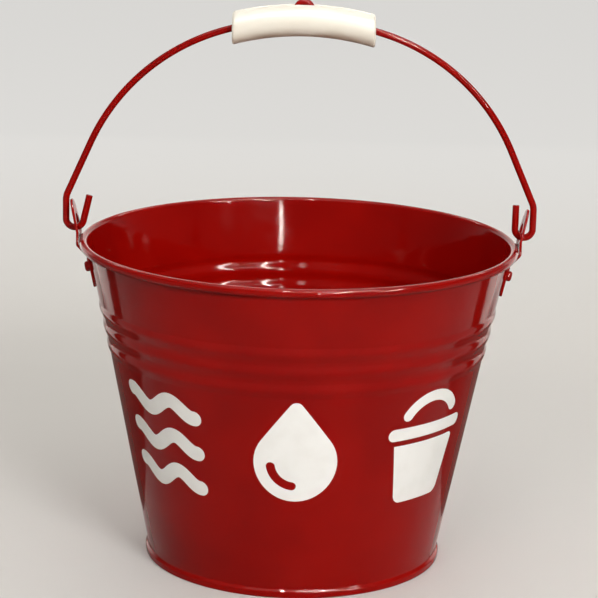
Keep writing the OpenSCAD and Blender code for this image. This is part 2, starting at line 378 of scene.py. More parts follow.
class ShaderBook:
    """The node tree of one material, or of the world."""

    def __init__(self, owner: Material | bpy.types.World) -> None:
        """Starts an empty tree.

        Args:
            owner: The material or world that the tree belongs to.
        """
        self.owner = owner
        owner.use_nodes = True
        self.tree = owner.node_tree
        self.tree.nodes.clear()

    @classmethod
    def material(cls, name: str) -> "ShaderBook":
        """The book of a new material."""
        return cls(bpy.data.materials.new(name))

    def node(self, kind: str, settings: dict[str, Any] | None = None, inputs: dict[Any, Any] | None = None,
             output: int | str = 0) -> Value:
        """Adds a node.

        Args:
            kind: Blender's name of the node type.
            settings: The node's own properties, which are set first.
            inputs: Values or links of its sockets, by name or number.
            output: The socket that the answer stands for.

        Returns:
            That output as a value.
        """
        made = self.tree.nodes.new(kind)
        for key, setting in (settings or {}).items():
            setattr(made, key, setting)
        for key, given in (inputs or {}).items():
            if isinstance(given, Value):
                self.tree.links.new(given.socket, made.inputs[key])
            else:
                made.inputs[key].default_value = given
        return Value(self, made.outputs[output])

    def place(self, spread: Spread = Spread.EVEN) -> Value:
        """Object coordinates in metres, stretched as the pattern asks."""
        where = self.node("ShaderNodeTexCoord", output="Object")
        return self.node("ShaderNodeMapping", inputs={"Vector": where, "Scale": spread.value})

    def noise(self, pattern: Pattern) -> Value:
        """Draws a noise pattern.

        Args:
            pattern: What it looks like.

        Returns:
            Its strength, from 0 to 1.
        """
        inputs = {"Vector": self.place(pattern.spread), "Scale": 1 / (pattern.size_mm * MM)}
        strength = self.node("ShaderNodeTexNoise", inputs={**inputs, "Detail": pattern.detail})
        return strength.above(*pattern.levels) if pattern.levels else strength

    def blend(self, share: Value, low: Colour | Value, high: Colour | Value) -> Value:
        """Mixes two colours.

        Args:
            share: How much of the second one there is.
            low: The first colour.
            high: The second colour.

        Returns:
            The mixed colour.
        """
        low, high = (end if isinstance(end, Value) else (*end, 1.0) for end in (low, high))
        ends = {MIX_SHARE: share, MIX_LOW: low, MIX_HIGH: high}
        return self.node("ShaderNodeMix", {"data_type": "RGBA"}, ends, MIXED)

    def shown_rays(self) -> Value:
        """Finds the rays to which the surface shows.

        Returns:
            1 where the camera, gloss or glass sees the surface, and 0 for light that only bounces off it.
        """
        kinds = ("Is Camera Ray", "Is Glossy Ray", "Is Transmission Ray")
        camera, gloss, glass = (self.node("ShaderNodeLightPath", output=kind) for kind in kinds)
        return (camera + gloss + glass).above(0.0, 1.0)

    def bump(self, height: Value, depth_mm: float, under: Value | None = None) -> Value:
        """Turns a pattern into a bumpy surface.

        Args:
            height: The pattern, from 0 to 1.
            depth_mm: Height of the bumps.
            under: A normal that the bumps lie on, if there is one.

        Returns:
            The normal.
        """
        inputs = {"Height": height, "Distance": depth_mm * MM, "Strength": 1.0}
        if under is not None:
            inputs["Normal"] = under
        return self.node("ShaderNodeBump", inputs=inputs)

    def surface(self, inputs: dict[str, Any]) -> Material:
        """Ends the tree with a Principled shader.

        Args:
            inputs: Values, colours or links of the shader's sockets.

        Returns:
            The finished material.
        """
        self.end_with("ShaderNodeOutputMaterial", self.node("ShaderNodeBsdfPrincipled", inputs=inputs))
        return self.owner

    def end_with(self, kind: str, shader: Value) -> None:
        """Links a shader to a new output node of the given kind."""
        out = self.tree.nodes.new(kind)
        self.tree.links.new(shader.socket, out.inputs["Surface"])


@dataclass(frozen=True)
class Enamel:
    """Deep red gloss enamel, sprayed on and flowed out."""

    deep: Colour = (0.235, 0.0014, 0.0006)
    bright: Colour = (0.290, 0.0024, 0.0010)
    drift: Pattern = Pattern(60.0, levels=(0.3, 0.7))
    haze: Pattern = Pattern(7.5, 4.0, levels=(0.35, 0.75))
    flow: Pattern = Pattern(24.0, 1.0, Spread.ROUND_THE_WALL)
    flow_depth_mm: float = 0.08
    peel: Pattern = Pattern(2.2)
    peel_depth_mm: float = 0.006
    roughness: float = 0.06
    haze_roughness: float = 0.06
    bending: float = 1.45
    shine: float = 0.115

    def material(self) -> Material:
        """Mixes the enamel.

        Returns:
            Its material, with slow colour drift, haze, flow waves and orange peel.
        """
        book = ShaderBook.material("red_enamel")
        waves = book.bump(book.noise(self.flow), self.flow_depth_mm)
        return book.surface({
            "Base Color": book.blend(book.noise(self.drift), self.deep, self.bright),
            "Roughness": self.roughness + book.noise(self.haze) * self.haze_roughness,
            "IOR": self.bending,
            "Specular IOR Level": self.shine,
            "Normal": book.bump(book.noise(self.peel), self.peel_depth_mm, waves),
        })


@dataclass(frozen=True)
class Finish:
    """A finish clouded between a clean and a worn colour, and rougher where it is worn."""

    name: str
    clean: Colour
    worn: Colour
    cloud: Pattern
    roughness: float
    worn_roughness: float = 0.0
    shine: float = 0.5
    metallic: float = 0.0
    grain: Pattern | None = None
    grain_depth_mm: float = 0.0

    def colour(self, book: ShaderBook, worn: Value) -> Value:
        """The colour, by how worn the finish is."""
        return book.blend(worn, self.clean, self.worn)

    def material(self) -> Material:
        """Mixes the finish.

        Returns:
            Its material.
        """
        book = ShaderBook.material(self.name)
        worn = book.noise(self.cloud)
        inputs = {"Base Color": self.colour(book, worn), "Roughness": self.roughness,
                  "Specular IOR Level": self.shine, "Metallic": self.metallic}
        if self.worn_roughness:
            inputs["Roughness"] = self.roughness + worn * self.worn_roughness
        if self.grain:
            inputs["Normal"] = book.bump(book.noise(self.grain), self.grain_depth_mm)
        return book.surface(inputs)


WHITE_PAINT = Finish("white_paint", clean=(0.90, 0.90, 0.89), worn=(0.86, 0.855, 0.84),
                     cloud=Pattern(14.0, 3.0, levels=(0.35, 0.75)), roughness=0.38, worn_roughness=0.1,
                     shine=0.3, grain=Pattern(0.8), grain_depth_mm=0.008)
DRAWN_STEEL = Finish("drawn_steel", clean=(0.55, 0.55, 0.56), worn=(0.38, 0.37, 0.36),
                     cloud=Pattern(3.0, 5.0), roughness=0.3, worn_roughness=0.2, metallic=1.0)
CARD_BLACK = Finish("card_black", clean=(0.03, 0.025, 0.02), worn=(0.045, 0.04, 0.03),
                    cloud=Pattern(40.0), roughness=0.9)


@dataclass(frozen=True, kw_only=True)
class GripPlastic(Finish):
    """Off-white moulded plastic with a fine even grain, darkened on the inside of its arch with hand soil and
    with painted shade of its underside.
    """

    arch_centre: float
    arch_radius: float
    name: str = "grip_plastic"
    clean: Colour = (0.84, 0.80, 0.715)
    worn: Colour = (0.77, 0.71, 0.60)
    # Brown on the inside of the arch: partly hand soil, partly painted shade of the grip's underside
    soil_and_shade: Colour = (0.44, 0.35, 0.265)
    cloud: Pattern = Pattern(18.0, 4.0, Spread.ALONG_THE_GRIP, (0.45, 0.8))
    stain: Pattern = Pattern(9.0, 5.0, Spread.ALONG_THE_GRIP, (0.1, 0.75))
    soiled_and_shaded_to: Span = (-9.0, -3.0)
    grain: Pattern = Pattern(0.7)
    grain_depth_mm: float = 0.01
    roughness: float = 0.34
    worn_roughness: float = 0.12
    shine: float = 0.25

    def colour(self, book: ShaderBook, worn: Value) -> Value:
        """Darkens the inside of the arch with hand soil and painted underside shade, by the distance from the
        arch's centre.

        Args:
            book: The material's shader book.
            worn: How worn the plastic is.

        Returns:
            The colour.
        """
        ends = {0: book.place(Spread.FLAT_FROM_THE_FRONT), 1: (0, 0, self.arch_centre * MM)}
        out = book.node("ShaderNodeVectorMath", {"operation": "DISTANCE"}, ends, output="Value")
        # The band below the arch line gets the soil colour, which is partly hand soil and partly painted
        # underside shade
        low, high = ((self.arch_radius + edge) * MM for edge in self.soiled_and_shaded_to)
        soiled_and_shaded = (1 - out.above(low, high)) * book.noise(self.stain)
        return book.blend(soiled_and_shaded, super().colour(book, worn), self.soil_and_shade)


@dataclass(frozen=True)
class FloorPaint:
    """Pale matt paint, whose soft glow takes over from the lamps far out, so that the floor stays even."""

    pale: Colour = (0.67, 0.665, 0.655)
    soft: Colour = (0.64, 0.635, 0.625)
    far: Colour = (0.06, 0.06, 0.06)
    bounced: Colour = (0.32, 0.295, 0.26)
    glow: Colour = (0.65, 0.64, 0.62)
    black: Colour = (0.0, 0.0, 0.0)
    far_from: Span = (0.4, 1.6)
    mottle: Pattern = Pattern(400.0, 3.0)
    roughness: float = 0.9
    shine: float = 0.1

    def material(self) -> Material:
        """Mixes the floor paint.

        Returns:
            Its material, pale near the bucket, glowing far out, and browner in the light that bounces off it.
        """
        book = ShaderBook.material("floor_paint")
        shown = book.shown_rays()
        away = book.node("ShaderNodeVectorMath", {"operation": "LENGTH"}, {0: book.place()}, output="Value")
        far = away.above(*self.far_from)
        paint = book.blend(far, book.blend(book.noise(self.mottle), self.pale, self.soft), self.far)
        return book.surface({
            "Base Color": book.blend(shown, self.bounced, paint),
            "Roughness": self.roughness,
            "Specular IOR Level": self.shine,
            "Emission Color": book.blend(shown * far, self.black, self.glow),
            "Emission Strength": 1.0,
        })


# The bucket's pieces


@dataclass
class BucketShell:
    """The wall with its beads and rim curl, the side seam, and the bottom with the foot seam it makes."""

    enamel: Material
    height: float
    rim_radius: float
    base_radius: float = 91.2
    sheet: float = 0.45
    waist_inset: float = 0.9
    bead_count: int = 3
    bead_drop: float = 41.8
    bead_pitch: float = 11.5
    bead_width: float = 10.6
    bead_rise: float = 0.9
    bead_steps: int = 16
    rim_wire: float = 4.0
    wire_gap: float = 0.15
    curl_turn: float = 300.0
    curl_steps: int = 40
    seam_height: float = 6.0
    layer_gap: float = 0.05
    panel_height: float = 6.8
    panel_bend: float = 1.6
    neck_bend: float = 2.0
    foot_bend: float = 0.7
    shoulder_height: float = 3.65
    shoulder_bend: float = 1.2
    fill_height: float = 5.3
    fill_bend: float = 1.6
    fill_top: float = 6.9
    fill_sunk: float = 0.02
    side_seam_width: float = 6.0
    side_seam_rise: float = 0.9
    side_seam_round: float = 0.35
    side_seam_strips: int = 4
    segments: int = 240

    def __post_init__(self) -> None:
        """Works out the seam's layers, the curl's circle and the line of the upper cone."""
        self.layer = self.sheet + self.layer_gap
        self.wall_foot = self.base_radius - self.sheet / 2
        self.wall_bottom = self.layer + self.sheet / 2
        self.curl_radius = self.rim_wire / 2 + self.wire_gap + self.sheet / 2
        self.bead_outer = self.curl_radius + self.sheet / 2
        self.curl_centre = Vector((self.rim_radius - self.bead_outer, self.height - self.bead_outer))
        self.top_bead = self.height - self.bead_drop
        waist_z = self.top_bead - (self.bead_count - 1) * self.bead_pitch - self.bead_width / 2
        share = (waist_z - self.seam_height) / (self.curl_centre.y - self.seam_height)
        straight = self.wall_foot + (self.curl_centre.x - self.curl_radius - self.wall_foot) * share
        self.waist = Vector((straight - self.waist_inset, waist_z))
        to_curl = self.curl_centre - self.waist
        self.lean = math.atan2(to_curl.x, to_curl.y) - math.asin(self.curl_radius / to_curl.length)

    def upper(self, z: float) -> float:
        """Radius of the middle of the sheet at a height on the upper cone, without the beads."""
        return self.waist.x + (z - self.waist.y) * math.tan(self.lean)

    def lower_outside(self, z: float) -> float:
        """Radius of the outer face at a height on the lower cone."""
        share = (z - self.seam_height) / (self.waist.y - self.seam_height)
        return self.wall_foot + (self.waist.x - self.wall_foot) * share + self.sheet / 2

    def bead_path(self) -> list[Vector]:
        """Runs up over the beads, each one wave of a cosine.

        Returns:
            Radius and height of the points, from the lowest bead to the highest.
        """
        points = []
        for bead in reversed(range(self.bead_count)):
            for i in range(self.bead_steps + 1):
                z = self.top_bead - bead * self.bead_pitch + self.bead_width * (i / self.bead_steps - 0.5)
                rise = self.bead_rise / 2 * (1 - math.cos(math.tau * i / self.bead_steps))
                points.append(Vector((self.upper(z) + rise, z)))
        return points

    def rise_path(self) -> list[Vector]:
        """Runs up the wall.

        Returns:
            Radius and height of the points, from inside the foot seam to the top of the beads.
        """
        neck = (self.wall_foot, self.seam_height - self.sheet, self.neck_bend)
        start = (self.wall_foot, self.wall_bottom, 0)
        return rounded([start, neck, (self.waist.x, self.waist.y, 0)]) + self.bead_path()[1:]

    def wall_path(self) -> list[Vector]:
        """The whole wall, from inside the foot seam to the end of its curl."""
        start, turn = 180 - math.degrees(self.lean), -self.curl_turn
        return self.rise_path() + arc(self.curl_centre, self.curl_radius, start, turn, self.curl_steps)

    def bottom_path(self) -> list[Vector]:
        """Runs along the bottom and round the foot seam, whose upper crease the enamel has filled.

        Returns:
            Radius and height of the points, from the centre outwards.
        """
        panel, cover = self.wall_foot - self.layer, self.wall_foot + 3 * self.layer
        neck_z = self.seam_height - self.sheet
        slope = (self.waist.x - self.wall_foot) / (self.waist.y - neck_z)
        crease, top = (self.wall_foot + (z - neck_z) * slope - self.fill_sunk
                       for z in (self.fill_height, self.fill_top))
        return rounded([(0, self.panel_height, 0),
                        (panel, self.panel_height, self.panel_bend),
                        (panel, self.sheet / 2, self.foot_bend),
                        (cover, self.sheet / 2, self.foot_bend),
                        (cover, self.shoulder_height, self.shoulder_bend),
                        (crease, self.fill_height, self.fill_bend),
                        (top, self.fill_top, 0)])

    def build_round(self, path: Sequence[Vector], name: str, node: str) -> Thing:
        """Builds one smooth round shell of sheet.

        Args:
            path: Radius and height along the middle of the sheet.
            name: Name of the piece.
            node: The CAD node that it stands for.

        Returns:
            The piece.
        """
        bm = spun(path, self.segments)
        thicken(bm, self.sheet)
        return finished(bm, name, Body.BUCKET, self.enamel, [node])

    def build_side_seam(self) -> Thing:
        """Builds the folded seam, a raised band that follows the wall at the back.

        Returns:
            The piece.
        """
        width, thick = self.side_seam_width, self.sheet / 2 + self.side_seam_rise
        end_z = self.curl_centre.y - self.bead_outer
        path = [p for p in self.rise_path() if p.y > self.seam_height] + [Vector((self.upper(end_z), end_z))]
        bm = bmesh.new()
        edges = chain(bm, [Vector((-width / 2, p.x + thick / 2, p.y)) for p in path])
        for _ in range(self.side_seam_strips):
            edges = grow(bm, edges, Vector((width / self.side_seam_strips, 0, 0)))
        for v in bm.verts:
            v.co.y = math.sqrt(v.co.y ** 2 - v.co.x ** 2)
        bmesh.ops.recalc_face_normals(bm, faces=bm.faces)
        thicken(bm, thick)
        crisp = [e for e in bm.edges if len(e.link_faces) == 2 and e.calc_face_angle() > CORNER_ANGLE]
        round_edges(bm, crisp, self.side_seam_round)
        return finished(bm, "side_seam_fold", Body.BUCKET, self.enamel)

    def build(self) -> list[Thing]:
        """Builds the wall, the bottom and the side seam.

        Returns:
            The three pieces.
        """
        return [self.build_round(self.wall_path(), "enamel_wall", "body_wall"),
                self.build_round(self.bottom_path(), "bottom_and_foot", "bottom_plate"),
                self.build_side_seam()]


@dataclass
class EarsAndRivets:
    """The two pressed ears that hold the bail, and the rivets that hold them."""

    enamel: Material
    shell: BucketShell
    thickness: float = 1.6
    width: float = 32.0
    corner: float = 5.0
    corner_steps: int = 12
    tip: float = 7.5
    tip_steps: int = 28
    foot_drop: float = 30.5
    tip_rise: float = 22.0
    eye: float = 11.0
    eye_rise: float = 7.3
    eye_steps: int = 40
    wall_gap: float = 0.1
    rim_gap: float = 0.3
    bend: float = 2.4
    bend_steps: int = 8
    joggle_drop: float = 11.5
    joggle_height: float = 6.9
    lean_rise: float = 3.0
    strip: float = 3.0
    edge: float = 0.4
    edge_turns: tuple[float, ...] = (0.0, 30.0, 60.0, 90.0, 120.0)
    rivet: float = 4.0
    head: float = 6.4
    head_height: float = 2.8
    head_round: float = 1.5
    inner_head: float = 7.0
    inner_height: float = 1.2
    inner_round: float = 0.9
    rivet_pitch: float = 17.0
    rivet_drop: float = 18.0
    rivet_gap: float = 0.1
    rivet_segments: int = 40
    rivet_sharp: float = 60.0

    def __post_init__(self) -> None:
        """Works out where the ear's middle layer runs."""
        shell = self.shell
        self.foot_z = shell.height - self.foot_drop
        self.tip_z = shell.height + self.tip_rise
        self.eye_z = shell.height + self.eye_rise
        self.off_wall = (shell.sheet / 2 + self.wall_gap + self.thickness / 2) / math.cos(shell.lean)
        self.upright = shell.rim_radius + self.rim_gap + self.thickness / 2
        joggle_z = shell.height - self.joggle_drop
        lean_z = shell.height + self.lean_rise
        low_z, high_z = self.foot_z - self.bend, self.tip_z + self.bend
        top_x = self.upright + (high_z - lean_z) * math.tan(shell.lean)
        self.path = rounded([(shell.upper(low_z) + self.off_wall, low_z, 0),
                             (shell.upper(joggle_z) + self.off_wall, joggle_z, self.bend),
                             (self.upright, joggle_z + self.joggle_height, self.bend),
                             (self.upright, lean_z, self.bend),
                             (top_x, high_z, 0)], self.bend_steps)

    def reach(self, z: float) -> float:
        """Finds how far out the ear stands.

        Args:
            z: A height.

        Returns:
            Radius of the ear's middle layer there.
        """
        for a, b in zip(self.path, self.path[1:]):
            if a.y <= z <= b.y:
                return a.x + (b.x - a.x) * (z - a.y) / (b.y - a.y)
        return self.path[-1].x

    def outlines(self, inset: float) -> tuple[list[Vector], list[Vector]]:
        """The ear's outline and its eye seen from the side, or lines that run inside their edges.

        Args:
            inset: How far inside the edges the lines run.

        Returns:
            The points of both, across and up.
        """
        foot = Vector((self.width / 2 - self.corner, self.foot_z + self.corner))
        tip = Vector((0, self.tip_z - self.tip))
        run = tip - foot
        side = math.degrees(math.atan2(run.y, run.x) - math.acos((self.corner - self.tip) / run.length))
        corner, other = self.corner - inset, Vector((-foot.x, foot.y))
        outline = (arc(foot, corner, -90, 90 + side, self.corner_steps)
                   + arc(tip, self.tip - inset, side, 180 - 2 * side, self.tip_steps)
                   + arc(other, corner, 180 - side, 90 + side, self.corner_steps))
        return outline, arc(Vector((0, self.eye_z)), self.eye / 2 + inset, 0, 360, self.eye_steps)[:-1]

    def flat_ear(self) -> Mesh:
        """Cuts the ear out flat, with narrow bands along its edges that can be rounded later.

        Returns:
            The flat mesh. Its layer fall says how far each point lies below the face once the edge is
            round, and its layer pull waits for the same as a vector.
        """
        bm = bmesh.new()
        bm.verts.layers.float_vector.new("pull")
        fall = bm.verts.layers.float.new("fall")
        bands: list[list[list[Edge]]] = []
        for turn in (math.radians(angle) for angle in self.edge_turns):
            rings = [chain(bm, [Vector((0, p.x, p.y)) for p in ring], closed=True)
                     for ring in self.outlines(self.edge * (1 - math.cos(turn)))]
            for v in (v for ring in rings for e in ring for v in e.verts):
                v[fall] = self.edge * (1 - math.sin(turn)) if turn < math.pi / 2 else 0
            bands.append(rings)
        for outer, inner in zip(bands, bands[1:]):
            for ring, next_ring in zip(outer, inner):
                bmesh.ops.bridge_loops(bm, edges=ring + next_ring)
        bmesh.ops.triangle_fill(bm, use_beauty=True, edges=bands[-1][0] + bands[-1][1])
        return bm

    def build_ear(self, side: Side) -> Thing:
        """Builds an ear, cut out flat, bent round the rim and given its thickness and its round edges.

        Args:
            side: The side that it stands on.

        Returns:
            The piece.
        """
        bm = self.flat_ear()
        fall, pull = bm.verts.layers.float["fall"], bm.verts.layers.float_vector["pull"]
        cut_in_strips(bm, Vector((0, 0, 1)), [p.y for p in self.path[1:-1]])
        cut_in_strips(bm, Vector((0, 1, 0)), steps_between(-self.width / 2, self.width / 2, self.strip))
        for v in bm.verts:
            v.co.x = math.sqrt(self.reach(v.co.z) ** 2 - v.co.y ** 2)
        bmesh.ops.recalc_face_normals(bm, faces=bm.faces)
        bm.normal_update()
        for v in bm.verts:
            v[pull] = v.normal * v[fall]
        near = set(bm.verts)
        thicken(bm, self.thickness)
        for v in bm.verts:
            v.co += v[pull] * (-1 if v in near else 1)
        if side is Side.LEFT:
            bmesh.ops.rotate(bm, verts=bm.verts, cent=(0, 0, 0), matrix=Matrix.Rotation(math.pi, 3, "Z"))
        node = f"ear_{side.name.lower()}"
        return finished(bm, f"{node}_pressing", Body.BUCKET, self.enamel, [node])

    def build_rivet(self, side: Side, front: bool) -> Thing:
        """Builds a rivet, with a domed head outside and a flatter one inside.

        Args:
            side: The side whose ear it holds.
            front: Whether it is the ear's front one.

        Returns:
            The piece.
        """
        inner = -(self.thickness + self.wall_gap + self.shell.sheet + self.rivet_gap)
        top = self.rivet_gap + self.head_height
        profile = rounded([(0, top, 0),
                           (self.head / 2, top, self.head_round),
                           (self.head / 2, self.rivet_gap, 0),
                           (self.rivet / 2, self.rivet_gap, 0),
                           (self.rivet / 2, inner, 0),
                           (self.inner_head / 2, inner, 0),
                           (self.inner_head / 2, inner - self.inner_height, self.inner_round),
                           (0, inner - self.inner_height, 0)], self.bend_steps)
        bm = spun(profile, self.rivet_segments)
        rivet_z = self.shell.height - self.rivet_drop
        reach = self.shell.upper(rivet_z) + self.off_wall
        swing = math.asin(self.rivet_pitch / 2 / reach) * (-1 if front else 1) * side.value
        face = reach + self.thickness / 2 / math.cos(self.shell.lean)
        turned = Matrix.Rotation(swing + (math.pi if side is Side.LEFT else 0), 4, "Z")
        tipped = Matrix.Rotation(math.pi / 2 + self.shell.lean, 4, "Y")
        placed = Matrix.Translation((face, 0, rivet_z)) @ tipped
        bmesh.ops.transform(bm, matrix=turned @ placed, verts=bm.verts)
        node = f"rivet_{side.name.lower()}_{'front' if front else 'back'}"
        return finished(bm, f"{node}_heads", Body.BUCKET, self.enamel, [node],
                        self.rivet_sharp)

    def build(self) -> list[Thing]:
        """Builds both ears, and then all their rivets."""
        ears = [self.build_ear(side) for side in Side]
        return ears + [self.build_rivet(side, front) for side in Side for front in (True, False)]


class WireBender:
    """A round wire that grows in the XZ plane, one straight run or bend after another."""

    def __init__(self, start: Vector, diameter: float, sides: int = 24) -> None:
        """Starts the wire level, heading towards +X.

        Args:
            start: Centre of the wire's first section.
            diameter: Diameter of the wire.
            sides: Number of faces round it.
        """
        self.bm = bmesh.new()
        self.at = start.copy()
        self.heading = 0.0
        section = Matrix.Translation(start) @ Matrix.Rotation(math.pi / 2, 4, "Y")
        bmesh.ops.create_circle(self.bm, segments=sides, radius=diameter / 2, matrix=section)
        self.front = self.bm.edges[:]

    def run(self, length: float) -> None:
        """Grows a straight run.

        Args:
            length: Its length.
        """
        step = Vector((math.cos(self.heading), 0, math.sin(self.heading))) * length
        self.front = grow(self.bm, self.front, step)
        self.at += step

    def bend(self, radius: float, turn: float, steps: int) -> None:
        """Grows a bend.

        Args:
            radius: Radius of the wire's centreline.
            turn: Angle in degrees, positive when the wire turns upwards.
            steps: Number of steps in the bend.
        """
        side, angle = (1 if turn > 0 else -1), math.radians(abs(turn))
        axis = Vector((0, -side, 0))
        to_centre = Vector((-math.sin(self.heading), 0, math.cos(self.heading))) * side * radius
        centre = self.at + to_centre
        verts = list({v for e in self.front for v in e.verts})
        grown = bmesh.ops.spin(self.bm, geom=verts + self.front, cent=centre, axis=axis, dvec=(0, 0, 0),
                               angle=angle, steps=steps, use_merge=False, use_duplicate=False)
        self.front = [g for g in grown["geom_last"] if isinstance(g, Edge)]
        self.heading += math.radians(turn)
        self.at = centre - Matrix.Rotation(angle, 3, axis) @ to_centre

    def cut_off(self, size: float) -> None:
        """Closes the wire's end with a flat face whose edge is rounded by the given size."""
        bmesh.ops.contextual_create(self.bm, geom=self.front)
        round_edges(self.bm, self.front, size)


@dataclass
class Bail:
    """The wire bail: a hanging hump, an arch, two shoulders, two legs and the hooks in the ears."""

    enamel: Material
    ears: EarsAndRivets
    pivot: float
    outer_leg: float
    top: float
    wire: float = 4.2
    gap: float = 0.4
    hump_rise: float = 11.0
    hump_bend: float = 4.4
    hump_slope: float = 75.0
    hump_steps: int = 12
    arch_radius: float = 167.0
    arch_half: float = 17.7
    arch_steps: int = 12
    shoulder_steps: int = 40
    leg_lean: float = 24.0
    leg_rise: float = 17.0
    leg_bend: float = 12.0
    leg_steps: int = 8
    hook_steps: int = 28
    hook_end_rise: float = 20.3
    left_hook_open: float = 13.0
    right_hook_open: float = 0.0
    end_round: float = 0.5

    def __post_init__(self) -> None:
        """Works out the hook's width, the shoulder's radius, and the lengths of the straight runs."""
        self.arch_top = self.top - self.wire / 2 - self.hump_rise
        self.hook_radius = self.find_hook()
        self.shoulder_radius, self.leg = self.find_shoulder()
        self.hump_side, turn = self.find_hump()
        self.hump_angle = math.degrees(turn)
        self.hump_half = self.arch_radius * math.sin(turn)

    def find_hook(self) -> float:
        """Finds the hook whose inner leg just clears the inside of the ear.

        Returns:
            The radius of its bend.
        """
        shell, ears = self.ears.shell, self.ears
        face = ears.thickness / 2 / math.cos(shell.lean)
        foot_z = ears.foot_z + ears.corner
        share = (self.pivot - foot_z) / (ears.tip_z - ears.tip - foot_z)
        half = ears.width / 2 + (ears.tip - ears.width / 2) * share
        sag = ears.upright - math.sqrt(ears.upright ** 2 - half ** 2)
        inner_leg = ears.reach(self.pivot) - face - sag - self.gap - self.wire / 2
        return (self.outer_leg - inner_leg) / 2

    def find_shoulder(self) -> Span:
        """Finds the shoulder that runs smoothly from the arch into the straight part of the leg.

        Returns:
            The radius of the shoulder, and the length of that straight part.
        """
        slope, arch_half = math.radians(90 - self.leg_lean), math.radians(self.arch_half)
        leg_foot = Vector((self.outer_leg - self.leg_bend * (1 - math.sin(slope)),
                           self.pivot + self.leg_rise + self.leg_bend * math.cos(slope)))
        across = leg_foot.x - self.arch_radius * math.sin(arch_half)
        down = self.arch_top - leg_foot.y - self.arch_radius * (1 - math.cos(arch_half))
        turn_x = math.sin(slope) - math.sin(arch_half)
        turn_z = math.cos(arch_half) - math.cos(slope)
        scale = turn_x * math.sin(slope) - turn_z * math.cos(slope)
        return ((across * math.sin(slope) - down * math.cos(slope)) / scale,
                (turn_x * down - turn_z * across) / scale)

    def find_hump(self) -> Span:
        """Finds where the hump's bends meet its straight sides and the arch.

        Returns:
            The length of a side, and the angle in radians from the middle to the arch's first point.
        """
        tilt = math.radians(self.hump_slope)
        centres = self.arch_radius + self.hump_bend
        out = 2 * self.hump_bend * math.sin(tilt)
        up = self.hump_rise - self.hump_bend + self.arch_radius + 2 * self.hump_bend * math.cos(tilt)
        along = out * math.cos(tilt) - up * math.sin(tilt)
        side = -along - math.sqrt(along ** 2 - (out ** 2 + up ** 2 - centres ** 2))
        return side, math.asin((out + side * math.cos(tilt)) / centres)

    def half(self, hook_open: float) -> Mesh:
        """Bends one half of the bail from the middle outwards along +X.

        Args:
            hook_open: Angle by which the hook's free end is bent open, in degrees.

        Returns:
            The half's mesh, open at the middle.
        """
        slope, tilt = 90 - self.leg_lean, math.radians(hook_open)
        wire = WireBender(Vector((0, 0, self.top - self.wire / 2)), self.wire)
        wire.bend(self.hump_bend, -self.hump_slope, self.hump_steps)
        wire.run(self.hump_side)
        wire.bend(self.hump_bend, self.hump_slope - self.hump_angle, self.hump_steps)
        wire.bend(self.arch_radius, self.hump_angle - self.arch_half, self.arch_steps)
        wire.bend(self.shoulder_radius, self.arch_half - slope, self.shoulder_steps)
        wire.run(self.leg)
        wire.bend(self.leg_bend, slope - 90, self.leg_steps)
        wire.run(self.leg_rise - self.hook_radius)
        wire.bend(self.hook_radius, hook_open - 180, self.hook_steps)
        wire.run((self.hook_end_rise - self.hook_radius * (1 - math.sin(tilt))) / math.cos(tilt))
        wire.cut_off(self.end_round)
        return wire.bm

    def build(self) -> list[Thing]:
        """Builds the bail, its two halves joined at the top of the hump.

        Returns:
            The piece, alone in a list.
        """
        bm = self.half(self.left_hook_open)
        bmesh.ops.rotate(bm, verts=bm.verts, cent=(0, 0, 0), matrix=Matrix.Rotation(math.pi, 3, "Z"))
        right = self.half(self.right_hook_open)
        carrier = bpy.data.meshes.new("right_half")
        right.to_mesh(carrier)
        right.free()
        bm.from_mesh(carrier)
        bpy.data.meshes.remove(carrier)
        bmesh.ops.remove_doubles(bm, verts=bm.verts, dist=SAME_POINT)
        bmesh.ops.recalc_face_normals(bm, faces=bm.faces)
        return [finished(bm, "bail_wire", Body.BAIL, self.enamel, ["bail"])]


